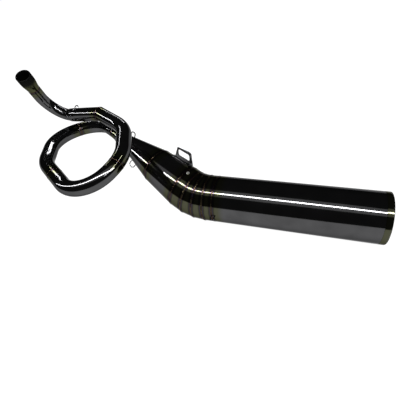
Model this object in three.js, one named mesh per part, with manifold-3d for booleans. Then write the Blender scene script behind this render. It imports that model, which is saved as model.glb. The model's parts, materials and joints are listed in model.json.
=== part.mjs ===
// Racing exhaust system: a looped header, a slip-on megaphone and a round silencer can.
// Millimetres, +Z up, +X from the can's front seam towards its tail.
// The origin is the centre of the inlet mouth, where the header meets the cylinder head.
import * as THREE from 'three';
import { mergeVertices } from 'three/addons/utils/BufferGeometryUtils.js';
import Module from 'manifold-3d';

const wasm = await Module();
wasm.setup();

// ---- Driving dimensions -------------------------------------------------------------
const GAP = 0.3;                   // clearance left between pieces that touch
const HEADER_RADIUS = 17.5;        // 35 mm header tube
const LOOP_RADIUS = 20;            // 40 mm loop tube
const CAN_RADIUS = 62.5;           // 125 mm can
const TUBE_WALL = 1.2;
const SHEET_WALL = 1.2;

const COLLAR_RADIUS = 21;          // 42 mm inlet collar
const COLLAR_LENGTH = 22;
const COLLAR_TAPER = 25;

const SLIP_DEPTH = 30;             // how far a tube goes into its socket
const SLIP_CLEARANCE = 0.5;
const SOCKET_LENGTH = 36;
const SOCKET_WALL = 2;

const CAN_LENGTH = 410;
const TAIL_RING_LENGTH = 15;
const CORE_RADIUS = 25;
const CORE_WALL = 1.5;
const DISC_THICKNESS = 2;
const FRONT_DISC_AT = 12;          // from the can's front seam
const END_DISC_FROM_RING = 6;
const CORE_BEFORE_DISC = 8;
const CORE_SHORT_OF_TAIL = 6;
const PACKING_CLEARANCE = 1;
const RIM_LENGTH = 2;              // rounded end of the tail ring
const RIM_DROP = 1.5;
const LIP_WIDTH = 4;               // inward lip of the tail ring
const LIP_LENGTH = 3;

// The bend's pieces from the can upstream: each one's length, and its turn from the last.
const BEND_PIECES = [
  { length: 25.5, turn: 0 },
  { length: 25.5, turn: 5 },
  { length: 25.5, turn: 10 },
  { length: 31.5, turn: 11.5 },
  { length: 106, turn: 3 },        // front cone
  { length: 131, turn: 0.4 },      // inlet cone
];
const PIE_CUTS = 4;
const BEND_ROLL = THREE.MathUtils.degToRad(39.5);  // plane of the bend, up from level
const CONE_SEAM_RADIUS = 52.6;     // where the two cones meet
const CONE_MOUTH_RADIUS = LOOP_RADIUS + SLIP_CLEARANCE + SOCKET_WALL;

const WIRE_RADIUS = 1.5;           // 3 mm wire of the spring hooks
const HOOK_ROUNDING = 0.75;        // bend radius as a share of the most that fits
const HOOK_STANCE = 0.8;           // width at the feet as a share of the width at the top
const NEAR_HOOK_LIFT = 1.7;        // clearance where the header is still bending
const NEAR_HOOK_LEAN = -0.12;

const TUBE_SIDES = 20;
const CAN_SIDES = 40;
const TUBE_STEP = 16;              // longest stretch of a bent tube between two rings
const ON_PLANE = 0.01;             // how near a vertex lies to the end plane it belongs to

// Corners of the header's centreline, seen from the can's front seam.
const INLET = new THREE.Vector3(-543, 81, 308);
const HEADER_CORNERS = [
  { at: new THREE.Vector3(-565, 120, 210), radius: 66 },
  { at: new THREE.Vector3(-532, 136, 158), radius: 52 },
];
const MITRE = new THREE.Vector3(-361.5, 103.5, 185);
const SLIP_MOUTH_A = 39;           // from the second header corner to the socket's mouth

// Corners of the loop, each with its bend radius.
const LOOP_CORNERS = [
  { at: new THREE.Vector3(-269, 68, 167), radius: 85 },
  { at: new THREE.Vector3(-215, -46, 155), radius: 95 },
  { at: new THREE.Vector3(-248, -130, 137), radius: 85 },
  { at: new THREE.Vector3(-323, -153, 126), radius: 80 },
  { at: new THREE.Vector3(-459, -69, 131), radius: 115 },
  { at: new THREE.Vector3(-533, 63, 124), radius: 117 },
  { at: new THREE.Vector3(-452, 183, 105), radius: 76 },
];
const LOOP_WELDS = [242, 468, 753];  // distances from the mitre, along the centreline
const LAST_BEND_RADIUS = 70;
const LAST_BEND_TO_SOCKET = 38;    // from the last corner to the megaphone's socket mouth
const SPIGOT_BEFORE_SOCKET = 22;

// ---- Materials ------------------------------------------------------------------------
const darkSteel = new THREE.MeshStandardMaterial({ color: 0x34353a, metalness: 1, roughness: 0.14 });
const tintedSteel = new THREE.MeshStandardMaterial({ color: 0x55512f, metalness: 1, roughness: 0.2 });
const blackedSteel = new THREE.MeshStandardMaterial({ color: 0x0c0c0d, metalness: 0.6, roughness: 0.6 });
const brightWire = new THREE.MeshStandardMaterial({ color: 0xa9abad, metalness: 1, roughness: 0.3 });
const innerSteel = new THREE.MeshStandardMaterial({ color: 0x5b5a57, metalness: 1, roughness: 0.45 });
const wool = new THREE.MeshStandardMaterial({ color: 0xcfc8b4, metalness: 0, roughness: 1 });

// ---- Helpers --------------------------------------------------------------------------
// Six times the volume inside a closed triangle mesh, negative when it is inside out.
function signedVolume(geometry) {
  const position = geometry.attributes.position;
  const index = geometry.index;
  const [a, b, c] = [new THREE.Vector3(), new THREE.Vector3(), new THREE.Vector3()];
  let sum = 0;
  for (let i = 0; i < index.count; i += 3) {
    a.fromBufferAttribute(position, index.getX(i));
    b.fromBufferAttribute(position, index.getX(i + 1));
    c.fromBufferAttribute(position, index.getX(i + 2));
    sum += a.dot(b.cross(c));
  }
  return sum;
}

// The geometry with shared vertices and its faces pointing out.
function closed(geometry) {
  geometry.deleteAttribute('normal');
  geometry.deleteAttribute('uv');
  const merged = mergeVertices(geometry, 1e-3);
  if (signedVolume(merged) < 0) {
    merged.index.array.reverse();
  }
  return merged;
}

function toSolid(geometry) {
  return new wasm.Manifold(new wasm.Mesh({
    numProp: 3,
    vertProperties: geometry.attributes.position.array,
    triVerts: new Uint32Array(geometry.index.array),
  }));
}

function toGeometry(solid) {
  const mesh = solid.getMesh();
  const geometry = new THREE.BufferGeometry();
  geometry.setAttribute('position', new THREE.BufferAttribute(mesh.vertProperties, 3));
  geometry.setIndex(new THREE.BufferAttribute(mesh.triVerts, 1));
  return geometry;
}

// A closed [x, radius] outline turned about the X axis.
function turned(outline, sides) {
  const points = outline.map(([x, radius]) => new THREE.Vector2(radius, x));
  points.push(points[0].clone());
  const geometry = new THREE.LatheGeometry(points, sides);
  geometry.rotateZ(-Math.PI / 2);
  return closed(geometry);
}

// A round tube or cone shell along X, whose two ends can lean in the XY plane.
function shell(length, startRadius, endRadius, wall, sides, startLean = 0, endLean = 0) {
  const geometry = turned([
    [0, startRadius - wall],
    [0, startRadius],
    [length, endRadius],
    [length, endRadius - wall],
  ], sides);
  const position = geometry.attributes.position;
  for (let i = 0; i < position.count; i += 1) {
    const lean = position.getX(i) < length / 2 ? startLean : -endLean;
    position.setX(i, position.getX(i) + position.getY(i) * lean);
  }
  return geometry;
}

// An arc in space from start, through angle, about an axis through centre.
class Bend extends THREE.Curve {
  constructor(centre, start, axis, angle) {
    super();
    this.centre = centre;
    this.arm = start.clone().sub(centre);
    this.axis = axis;
    this.angle = angle;
  }

  getPoint(t, target = new THREE.Vector3()) {
    return target.copy(this.arm).applyAxisAngle(this.axis, this.angle * t).add(this.centre);
  }
}

// Part of another curve, between two distances along it.
class Stretch extends THREE.Curve {
  constructor(whole, from, to) {
    super();
    this.whole = whole;
    this.from = from / whole.getLength();
    this.to = to / whole.getLength();
  }

  getPoint(t, target = new THREE.Vector3()) {
    return this.whole.getPointAt(this.from + (this.to - this.from) * t, target);
  }
}

// Straights and bends from one point to another, round the corners between them.
function route(start, corners, end) {
  const path = new THREE.CurvePath();
  let here = start.clone();
  corners.forEach((corner, i) => {
    const before = i ? corners[i - 1].at : start;
    const after = i < corners.length - 1 ? corners[i + 1].at : end;
    const inward = corner.at.clone().sub(before).normalize();
    const outward = after.clone().sub(corner.at).normalize();
    const turn = inward.angleTo(outward);
    const reach = corner.radius * Math.tan(turn / 2);
    const first = corner.at.clone().addScaledVector(inward, -reach);
    const last = corner.at.clone().addScaledVector(outward, reach);
    const axis = inward.clone().cross(outward).normalize();
    const centre = first.clone().addScaledVector(axis.clone().cross(inward), corner.radius);
    path.add(new THREE.LineCurve3(here, first));
    path.add(new Bend(centre, first, axis, turn));
    here = last;
  });
  path.add(new THREE.LineCurve3(here, end.clone()));
  return path;
}

function tubeAlong(path, radius, wall) {
  const section = new THREE.Shape().absarc(0, 0, radius, 0, 2 * Math.PI);
  section.holes.push(new THREE.Path().absarc(0, 0, radius - wall, 0, 2 * Math.PI, true));
  return closed(new THREE.ExtrudeGeometry(section, {
    extrudePath: path,
    steps: Math.ceil(path.getLength() / TUBE_STEP),
    curveSegments: TUBE_SIDES / 2,
  }));
}

// Moves the ring of vertices at a tube's end along its axis, onto a leaning plane.
function mitreEnd(geometry, centre, axis, planeNormal) {
  const position = geometry.attributes.position;
  const vertex = new THREE.Vector3();
  const offset = new THREE.Vector3();
  for (let i = 0; i < position.count; i += 1) {
    vertex.fromBufferAttribute(position, i);
    offset.copy(vertex).sub(centre);
    if (Math.abs(offset.dot(axis)) < ON_PLANE) {
      vertex.addScaledVector(axis, -offset.dot(planeNormal) / axis.dot(planeNormal));
      position.setXYZ(i, vertex.x, vertex.y, vertex.z);
    }
  }
  return geometry;
}

function direction(from, to) {
  return to.clone().sub(from).normalize();
}

function along(point, heading, distance) {
  return point.clone().addScaledVector(heading, distance);
}

function add(group, name, geometry, material) {
  const mesh = new THREE.Mesh(geometry, material);
  mesh.name = name;
  group.add(mesh);
  return mesh;
}

// Lays a piece that was made along X on a point of the centreline.
function layAlong(mesh, point, heading) {
  mesh.position.copy(point);
  mesh.quaternion.setFromUnitVectors(new THREE.Vector3(1, 0, 0), heading);
}

// A wire staple whose legs stand on a round tube, one after the other along its axis.
// In its own frame the tube's axis is X and the staple stands up from it along Y.
function hookGeometry(length, height) {
  const half = length / 2 - WIRE_RADIUS;
  const top = height - WIRE_RADIUS;
  const corner = Math.min(half, top) * HOOK_ROUNDING;
  const bow = route(
    new THREE.Vector3(-half * HOOK_STANCE, WIRE_RADIUS / 2, 0),
    [
      { at: new THREE.Vector3(-half, top, 0), radius: corner },
      { at: new THREE.Vector3(half, top, 0), radius: corner },
    ],
    new THREE.Vector3(half * HOOK_STANCE, WIRE_RADIUS / 2, 0),
  );
  const wire = new THREE.Shape().absarc(0, 0, WIRE_RADIUS, 0, 2 * Math.PI);
  return closed(new THREE.ExtrudeGeometry(wire, { extrudePath: bow, steps: 12, curveSegments: 4 }));
}

// Stands a hook on a tube or cone: foot is the distance from the centreline to the wire's
// feet, slope the cone's half angle and around the turn about the centreline.
function standHook(hook) {
  const frame = new THREE.Group();
  frame.position.copy(along(hook.at, hook.heading, hook.along));
  const across = new THREE.Vector3(0, 0, 1).cross(hook.heading).normalize();
  const upward = hook.heading.clone().cross(across);
  const axes = new THREE.Matrix4().makeBasis(hook.heading, upward, across.negate());
  frame.quaternion.setFromRotationMatrix(axes);
  const spoke = new THREE.Group();
  spoke.rotation.x = THREE.MathUtils.degToRad(hook.around);
  const [length, height] = hook.size;
  const mesh = add(spoke, hook.name, hookGeometry(length, height), brightWire);
  mesh.position.y = hook.foot;
  mesh.rotation.z = hook.slope || 0;
  frame.add(spoke);
  hook.on.add(frame);
}

// ---- Header ---------------------------------------------------------------------------
const header = new THREE.Group();
const mouthHeading = direction(INLET, HEADER_CORNERS[0].at);
const slipHeadingA = direction(HEADER_CORNERS[1].at, MITRE);
const slipMouthA = along(HEADER_CORNERS[1].at, slipHeadingA, SLIP_MOUTH_A);

const collar = add(header, 'inlet_collar', turned([
  [0, HEADER_RADIUS],
  [0, COLLAR_RADIUS],
  [COLLAR_LENGTH, COLLAR_RADIUS],
  [COLLAR_LENGTH + COLLAR_TAPER, HEADER_RADIUS],
  [COLLAR_LENGTH + COLLAR_TAPER, HEADER_RADIUS - TUBE_WALL],
  [COLLAR_LENGTH, HEADER_RADIUS],
], TUBE_SIDES), blackedSteel);
layAlong(collar, INLET, mouthHeading);

const headerStart = along(INLET, mouthHeading, COLLAR_LENGTH + COLLAR_TAPER + GAP);
const headerEnd = along(slipMouthA, slipHeadingA, SLIP_DEPTH);
const headerPath = route(headerStart, HEADER_CORNERS, headerEnd);
add(header, 'header_pipe', tubeAlong(headerPath, HEADER_RADIUS, TUBE_WALL), darkSteel);

const headerFoot = HEADER_RADIUS + GAP;

// ---- Loop -----------------------------------------------------------------------------
const loop = new THREE.Group();
const socketA = add(loop, 'loop_inlet_socket',
  shell(SOCKET_LENGTH, LOOP_RADIUS, LOOP_RADIUS, LOOP_RADIUS - HEADER_RADIUS - SLIP_CLEARANCE, TUBE_SIDES),
  darkSteel);
layAlong(socketA, slipMouthA, slipHeadingA);

const mitreHeading = direction(MITRE, LOOP_CORNERS[0].at);
const mitreNormal = slipHeadingA.clone().add(mitreHeading).normalize();
const entryStart = along(slipMouthA, slipHeadingA, SOCKET_LENGTH + GAP);
const entryEnd = along(MITRE, slipHeadingA, -GAP / 2);
const entryPipe = tubeAlong(new THREE.LineCurve3(entryStart, entryEnd), LOOP_RADIUS, TUBE_WALL);
add(loop, 'loop_entry_pipe', mitreEnd(entryPipe, entryEnd, slipHeadingA, mitreNormal), darkSteel);

// The megaphone's bend and cones lie in one plane. Its seams are found from the can's
// front seam upstream, as points of that plane.
function seamsUpstream() {
  const points = [{ x: 0, y: 0, angle: 0 }];
  let angle = 0;
  let x = 0;
  let y = 0;
  BEND_PIECES.forEach((piece) => {
    angle += THREE.MathUtils.degToRad(piece.turn);
    x -= piece.length * Math.cos(angle);
    y += piece.length * Math.sin(angle);
    points.push({ x, y, angle });
  });
  return points;
}

const seams = seamsUpstream();
const mouthSeam = seams[seams.length - 1];

function fromBendPlane(x, y) {
  return new THREE.Vector3(x, y, 0).applyAxisAngle(new THREE.Vector3(1, 0, 0), BEND_ROLL);
}

const coneHeading = fromBendPlane(Math.cos(mouthSeam.angle), -Math.sin(mouthSeam.angle));
const coneMouth = fromBendPlane(mouthSeam.x, mouthSeam.y);
const slipMouthB = along(coneMouth, coneHeading, -SOCKET_LENGTH);
const lastCorner = {
  at: along(slipMouthB, coneHeading, -LAST_BEND_TO_SOCKET),
  radius: LAST_BEND_RADIUS,
};
const spigotStart = along(slipMouthB, coneHeading, -SPIGOT_BEFORE_SOCKET);

// The loop is four bent tubes, each from one weld to the next.
const loopPath = route(MITRE, [...LOOP_CORNERS, lastCorner], spigotStart);
const loopEnds = [0, ...LOOP_WELDS, loopPath.getLength()];
const bendNames = ['loop_bend_right', 'loop_bend_near', 'loop_bend_left', 'loop_bend_back'];
bendNames.forEach((name, i) => {
  const from = loopEnds[i] + GAP / 2;
  const stretch = new Stretch(loopPath, from, loopEnds[i + 1] - GAP / 2);
  const geometry = tubeAlong(stretch, LOOP_RADIUS, TUBE_WALL);
  if (i === 0) {
    mitreEnd(geometry, along(MITRE, mitreHeading, from), mitreHeading, mitreNormal);
  }
  add(loop, name, geometry, darkSteel);
});

const spigot = add(loop, 'loop_outlet_spigot',
  shell(SPIGOT_BEFORE_SOCKET + SLIP_DEPTH, LOOP_RADIUS, LOOP_RADIUS, TUBE_WALL, TUBE_SIDES), darkSteel);
layAlong(spigot, spigotStart, coneHeading);

// ---- Silencer -------------------------------------------------------------------------
const silencer = new THREE.Group();
const socketB = add(silencer, 'silencer_inlet_socket',
  shell(SOCKET_LENGTH - GAP, CONE_MOUTH_RADIUS, CONE_MOUTH_RADIUS, SOCKET_WALL, TUBE_SIDES), darkSteel);
layAlong(socketB, slipMouthB, coneHeading);

const megaphone = new THREE.Group();
megaphone.rotation.x = BEND_ROLL;
const stageNames = ['inlet_cone', 'front_cone', 'bend_segment_1', 'bend_segment_2', 'bend_segment_3',
  'bend_segment_4'];
const stageRadii = [CONE_MOUTH_RADIUS, CONE_SEAM_RADIUS, ...Array(PIE_CUTS + 1).fill(CAN_RADIUS)];
stageNames.forEach((name, i) => {
  const start = seams[seams.length - 1 - i];
  const end = seams[seams.length - 2 - i];
  const length = Math.hypot(end.x - start.x, end.y - start.y);
  const upstreamAngle = i ? seams[seams.length - i].angle : start.angle;
  const startLean = Math.tan((upstreamAngle - start.angle) / 2);
  const endLean = Math.tan((start.angle - end.angle) / 2);
  const geometry = shell(length - GAP, stageRadii[i], stageRadii[i + 1], SHEET_WALL, CAN_SIDES,
    startLean, endLean);
  const stage = add(megaphone, name, geometry, i < 2 ? darkSteel : tintedSteel);
  stage.rotation.z = -start.angle;
  stage.position.set(
    start.x + (GAP / 2) * Math.cos(start.angle),
    start.y - (GAP / 2) * Math.sin(start.angle),
    0,
  );
});
silencer.add(megaphone);

// ---- Can ------------------------------------------------------------------------------
const shellLength = CAN_LENGTH - TAIL_RING_LENGTH;
const inside = CAN_RADIUS - SHEET_WALL;
const can = add(megaphone, 'can_shell',
  shell(shellLength - GAP, CAN_RADIUS, CAN_RADIUS, SHEET_WALL, CAN_SIDES), darkSteel);
can.position.x = GAP / 2;

const tailRing = add(silencer, 'tail_ring', turned([
  [0, inside],
  [0, CAN_RADIUS],
  [TAIL_RING_LENGTH - RIM_LENGTH, CAN_RADIUS],
  [TAIL_RING_LENGTH, CAN_RADIUS - RIM_DROP],
  [TAIL_RING_LENGTH, inside - LIP_WIDTH],
  [TAIL_RING_LENGTH - LIP_LENGTH, inside - LIP_WIDTH],
  [TAIL_RING_LENGTH - LIP_LENGTH - 1, inside],
], CAN_SIDES), tintedSteel);
tailRing.position.x = shellLength + GAP;

// Discs carry the perforated core at both ends of the can, and wool fills the space round it.
const endDiscAt = shellLength - END_DISC_FROM_RING;
const coreHole = CORE_RADIUS + GAP;
function disc(name, at) {
  const geometry = shell(DISC_THICKNESS, inside - GAP, inside - GAP, inside - GAP - coreHole, CAN_SIDES);
  const mesh = add(silencer, name, geometry, innerSteel);
  mesh.position.x = at;
}
disc('core_front_disc', FRONT_DISC_AT);
disc('core_end_disc', endDiscAt);

const coreStart = FRONT_DISC_AT - CORE_BEFORE_DISC;
const coreEnd = CAN_LENGTH - CORE_SHORT_OF_TAIL;
const core = add(silencer, 'perforated_core',
  shell(coreEnd - coreStart, CORE_RADIUS, CORE_RADIUS, CORE_WALL, TUBE_SIDES), innerSteel);
core.position.x = coreStart;

const packingStart = FRONT_DISC_AT + DISC_THICKNESS + PACKING_CLEARANCE;
const packingRadius = inside - PACKING_CLEARANCE;
const packing = add(silencer, 'packing_wool',
  shell(endDiscAt - PACKING_CLEARANCE - packingStart, packingRadius, packingRadius,
    packingRadius - CORE_RADIUS - PACKING_CLEARANCE, TUBE_SIDES), wool);
packing.position.x = packingStart;

// ---- Hanger ---------------------------------------------------------------------------
// A slotted plate stands on the front cone near the bend. Points are given as distance
// upstream from the bend and height over the cone. Its foot is a strip round the cone.
const HANGER_PLATE = 4;
const HANGER_AROUND = THREE.MathUtils.degToRad(8);   // from the plane of the bend
const HANGER_OUTLINE = [[12, 0], [34, 28], [81, 28], [75, 0]];
const HANGER_SLOT = [[27, 6.5], [35.5, 20], [76, 20], [67, 6.5]];
const HANGER_CORNER = 5;
const HANGER_FOOT_ARC = THREE.MathUtils.degToRad(22);
const HANGER_FOOT = 3;
const HANGER_LIFT = 1;             // clearance that the faceted cone needs under the foot
const PLATE_LIFT = 0.5;

function roundedPolygon(corners, radius) {
  const outline = new THREE.Path();
  const points = corners.map(([x, y]) => new THREE.Vector2(-x, y));
  points.forEach((corner, i) => {
    const before = points[(i + points.length - 1) % points.length];
    const after = points[(i + 1) % points.length];
    const start = corner.clone().add(before.clone().sub(corner).setLength(radius));
    const end = corner.clone().add(after.clone().sub(corner).setLength(radius));
    if (i) {
      outline.lineTo(start.x, start.y);
    } else {
      outline.moveTo(start.x, start.y);
    }
    outline.quadraticCurveTo(corner.x, corner.y, end.x, end.y);
  });
  outline.closePath();
  return outline;
}

function hangerGeometry(radius) {
  const plateShape = new THREE.Shape(roundedPolygon(HANGER_OUTLINE, HANGER_CORNER).getPoints(3));
  plateShape.holes.push(new THREE.Path(roundedPolygon(HANGER_SLOT, HANGER_CORNER).getPoints(3)));
  const plate = new THREE.ExtrudeGeometry(plateShape, { depth: HANGER_PLATE, bevelEnabled: false });
  plate.translate(0, PLATE_LIFT, -HANGER_PLATE / 2);
  const footShape = new THREE.Shape();
  const edge = HANGER_PLATE / 2 / radius;
  footShape.absarc(0, 0, radius, -edge, HANGER_FOOT_ARC, false);
  footShape.absarc(0, 0, radius + HANGER_FOOT, HANGER_FOOT_ARC, -edge, true);
  const [downstream, upstream] = [HANGER_OUTLINE[0][0], HANGER_OUTLINE[3][0]];
  const foot = new THREE.ExtrudeGeometry(footShape, {
    depth: upstream - downstream,
    bevelEnabled: false,
    curveSegments: 4,
  });
  foot.applyMatrix4(new THREE.Matrix4().makeBasis(
    new THREE.Vector3(0, 1, 0),
    new THREE.Vector3(0, 0, 1),
    new THREE.Vector3(1, 0, 0),
  ));
  foot.translate(-upstream, -radius, 0);
  return toGeometry(toSolid(closed(plate)).add(toSolid(closed(foot))));
}

// The cone's axis, from the seam where it meets the bend.
const coneEnd = seams[PIE_CUTS];
const coneAngle = seams[PIE_CUTS + 1].angle;
const frontConeLength = BEND_PIECES[PIE_CUTS].length;
const frontSlope = Math.atan2(CAN_RADIUS - CONE_SEAM_RADIUS, frontConeLength);
const coneFrame = new THREE.Group();
coneFrame.position.set(coneEnd.x, coneEnd.y, 0);
coneFrame.rotation.z = -coneAngle;
const hangerTurn = new THREE.Group();
hangerTurn.rotation.x = HANGER_AROUND;
const hanger = add(hangerTurn, 'hanger_bracket', hangerGeometry(CAN_RADIUS), darkSteel);
hanger.position.y = CAN_RADIUS + HANGER_LIFT;
hanger.rotation.z = frontSlope;
coneFrame.add(hangerTurn);
megaphone.add(coneFrame);

// A gas sampling plug in the bend's first piece.
const PLUG_RADIUS = 4;
const PLUG_HEIGHT = 4;
const PLUG_FROM_SEAM = 6;
const PLUG_AROUND = THREE.MathUtils.degToRad(50);
const plug = new THREE.Group();
plug.rotation.x = PLUG_AROUND;
plug.position.x = PLUG_FROM_SEAM;
const plugHead = add(plug, 'sampling_plug', turned([
  [0, 0],
  [0, PLUG_RADIUS],
  [PLUG_HEIGHT - 1, PLUG_RADIUS],
  [PLUG_HEIGHT, PLUG_RADIUS - 1],
  [PLUG_HEIGHT, 0],
], 12), brightWire);
plugHead.position.y = CAN_RADIUS + GAP;
plugHead.rotation.z = Math.PI / 2;
coneFrame.add(plug);

// ---- Spring hooks ---------------------------------------------------------------------
const inletSlope = Math.atan2(CONE_SEAM_RADIUS - CONE_MOUTH_RADIUS, BEND_PIECES[5].length);
const inletFlare = Math.tan(inletSlope);
const tubeFoot = LOOP_RADIUS + GAP;
const coneFoot = CONE_MOUTH_RADIUS + GAP;
const canStart = new THREE.Vector3();
const canHeading = new THREE.Vector3(1, 0, 0);
const hooks = [
  { on: header, name: 'header_hook_near', at: slipMouthA, heading: slipHeadingA, along: -11,
    foot: headerFoot + NEAR_HOOK_LIFT, around: 46, size: [16, 12], slope: NEAR_HOOK_LEAN },
  { on: header, name: 'header_hook_far', at: slipMouthA, heading: slipHeadingA, along: -11,
    foot: headerFoot, around: 280, size: [16, 12] },
  { on: loop, name: 'loop_inlet_hook_near', at: slipMouthA, heading: slipHeadingA, along: 13,
    foot: tubeFoot, around: 72, size: [20, 12] },
  { on: loop, name: 'loop_inlet_hook_far', at: slipMouthA, heading: slipHeadingA, along: 13,
    foot: tubeFoot, around: 306, size: [20, 12] },
  { on: loop, name: 'loop_outlet_hook_upper', at: slipMouthB, heading: coneHeading, along: -12,
    foot: tubeFoot, around: 336, size: [18, 12] },
  { on: loop, name: 'loop_outlet_hook_lower', at: slipMouthB, heading: coneHeading, along: -12,
    foot: tubeFoot, around: 170, size: [18, 12] },
  { on: silencer, name: 'cone_hook_upper', at: coneMouth, heading: coneHeading, along: 12,
    foot: coneFoot + 12 * inletFlare, around: 330, size: [20, 16], slope: inletSlope },
  { on: silencer, name: 'cone_hook_lower', at: coneMouth, heading: coneHeading, along: 54,
    foot: coneFoot + 54 * inletFlare, around: 135, size: [25, 21], slope: inletSlope },
  { on: silencer, name: 'can_hook', at: canStart, heading: canHeading, along: 2,
    foot: CAN_RADIUS + GAP, around: 96, size: [14, 11] },
];
hooks.forEach(standHook);

// ---- Whole exhaust --------------------------------------------------------------------
const exhaust = new THREE.Group();
exhaust.add(header, loop, silencer);
exhaust.position.copy(INLET).negate();

export default exhaust;
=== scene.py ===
"""A race exhaust: looped header, mitred megaphone bend and a long round silencer can."""

import json
import math
from collections import namedtuple

import bpy
from bpy.props import FloatProperty, FloatVectorProperty, IntProperty, PointerProperty
from mathutils import Matrix, Quaternion, Vector

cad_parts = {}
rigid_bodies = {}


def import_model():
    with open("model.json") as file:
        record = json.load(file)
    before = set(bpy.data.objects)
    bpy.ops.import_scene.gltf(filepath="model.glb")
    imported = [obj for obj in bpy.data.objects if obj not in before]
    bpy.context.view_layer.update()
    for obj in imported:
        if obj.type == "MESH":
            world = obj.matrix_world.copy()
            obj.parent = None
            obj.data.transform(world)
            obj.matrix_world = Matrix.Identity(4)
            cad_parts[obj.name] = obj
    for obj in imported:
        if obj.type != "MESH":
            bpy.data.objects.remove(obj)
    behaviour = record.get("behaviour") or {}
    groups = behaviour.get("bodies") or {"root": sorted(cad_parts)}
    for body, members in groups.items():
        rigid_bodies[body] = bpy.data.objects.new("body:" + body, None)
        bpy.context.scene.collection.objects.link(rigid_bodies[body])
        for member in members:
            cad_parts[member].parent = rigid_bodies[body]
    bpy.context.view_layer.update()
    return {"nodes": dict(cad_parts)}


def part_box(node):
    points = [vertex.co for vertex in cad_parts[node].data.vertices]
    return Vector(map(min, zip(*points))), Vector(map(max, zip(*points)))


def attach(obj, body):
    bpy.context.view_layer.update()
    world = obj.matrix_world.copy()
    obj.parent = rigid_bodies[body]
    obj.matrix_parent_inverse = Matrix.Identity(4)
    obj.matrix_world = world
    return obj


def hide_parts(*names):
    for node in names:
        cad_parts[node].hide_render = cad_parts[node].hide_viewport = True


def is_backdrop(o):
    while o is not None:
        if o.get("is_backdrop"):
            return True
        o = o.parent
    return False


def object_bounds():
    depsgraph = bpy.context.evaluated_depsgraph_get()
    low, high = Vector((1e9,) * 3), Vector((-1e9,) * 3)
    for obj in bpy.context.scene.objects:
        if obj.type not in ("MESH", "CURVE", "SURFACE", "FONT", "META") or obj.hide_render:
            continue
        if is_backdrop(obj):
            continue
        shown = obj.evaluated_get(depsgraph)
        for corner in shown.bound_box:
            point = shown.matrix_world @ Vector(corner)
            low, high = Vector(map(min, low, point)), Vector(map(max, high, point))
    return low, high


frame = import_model()

bl_info = {
    "name": "Race Exhaust",
    "version": (1, 0, 0),
    "blender": (4, 5, 0),
    "location": "View3D > Sidebar > Exhaust",
    "description": "Builds a looped race exhaust with a megaphone and a round silencer can",
    "category": "Add Mesh",
}

MM = 0.001

# Points are in millimetres from the centre of the can's front seam. The inlet mouth is the origin of
# the frame, so place() moves them there.
INLET = Vector((-543, 81, 308))
HEADER_CORNERS = [((-565, 120, 210), 66), ((-532, 136, 158), 52)]
MITRE = (-361.5, 103.5, 185)
HEADER_END_TO_SOCKET = 39
LOOP_CORNERS = [
    ((-269, 68, 167), 85),
    ((-215, -46, 155), 95),
    ((-248, -130, 137), 85),
    ((-323, -153, 126), 80),
    ((-459, -69, 131), 115),
    ((-533, 63, 124), 117),
    ((-452, 183, 105), 76),
]
LOOP_WELDS = [242, 468, 753]
LAST_BEND_RADIUS = 70
LAST_BEND_TO_SOCKET = 38
SPIGOT_BEFORE_SOCKET = 22
SOCKET_LENGTH = 36
SLIP_DEPTH = 30
SLIP_CLEARANCE = 0.5
SOCKET_WALL = 2

COLLAR_LENGTH = 22
COLLAR_TAPER = 25

# Length of each piece from the can upstream, and how far it turns from the last, in degrees.
BEND_PIECES = [(25.5, 0), (25.5, 5), (25.5, 10), (31.5, 11.5), (106, 3), (131, 0.4)]
PIE_CUTS = 4
BEND_ROLL = math.radians(39.5)
CONE_SEAM_RADIUS = 52.6

TAIL_RING_LENGTH = 15
TAIL_TINT_OFFSET = 8
CORE_RADIUS = 25
CORE_WALL = 1.5
END_DISC_FROM_RING = 6
DISC_THICKNESS = 2

HANGER_AROUND = math.radians(8)
HANGER_OUTLINE = [(12, 0), (34, 28), (81, 28), (75, 0)]
HANGER_SLOT = [(27, 6.5), (35.5, 20), (76, 20), (67, 6.5)]
HANGER_PLATE = 4
HANGER_CORNER = 5
HANGER_FOOT = 3
HANGER_FOOT_ARC = math.radians(22)
HANGER_LIFT = 0.5
HANGER_EDGE = 0.7

PLUG_AROUND = math.radians(50)
PLUG_FROM_SEAM = 6
PLUG_SINK = 0.2

# How the bent wire of a hook stands: rounding of its corners, how close its feet are and how deep they
# sink, and the pool of weld metal round each foot.
HOOK_ROUNDING = 0.75
HOOK_STANCE = 0.8
HOOK_SINK = 0.3
HOOK_GAP = 0.3
POOL_FLARE = 1.6
POOL_LENGTH = 0.8

# A weld bead's section, drawn out along the tube, and how deep its ripples go for each unit of height.
BEAD_SIDES = 10
BEAD_STRETCH = 1.9
POINTS_PER_RIPPLE = 4
RIPPLE_DEPTH = 0.3
LIGHT_BEAD = 0.45

CAN_SEGMENTS = 144
TURNED_SEGMENTS = 96
TUBE_SEGMENTS = 64
WIRE_SEGMENTS = 16
PLUG_SEGMENTS = 32
BEND_STEP = math.radians(3)
BEVEL_ABOVE = math.radians(40)
SMOOTH_BELOW = math.radians(35)
TINY = 1e-6
SAME_PLACE = 1e-5

# Rings this close keep the heat marks smooth along a piece.
RING_STEP = 4
# Length left over for a slanted cut: on tubes in millimetres, on cones as a share of the radius.
SPARE = 12
LEAN_SPARE = 0.19
# A weld marks only what is this near to it, in metres.
HEAT_REACH = 0.11
FAR_FROM_WELDS = 1.0
# What is left of a metal's reflection at grazing angles.
EDGE_TINT = 0.45
GRAIN = 120
HOLES_AROUND = 24
HOLE_PITCH = 6.5

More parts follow.
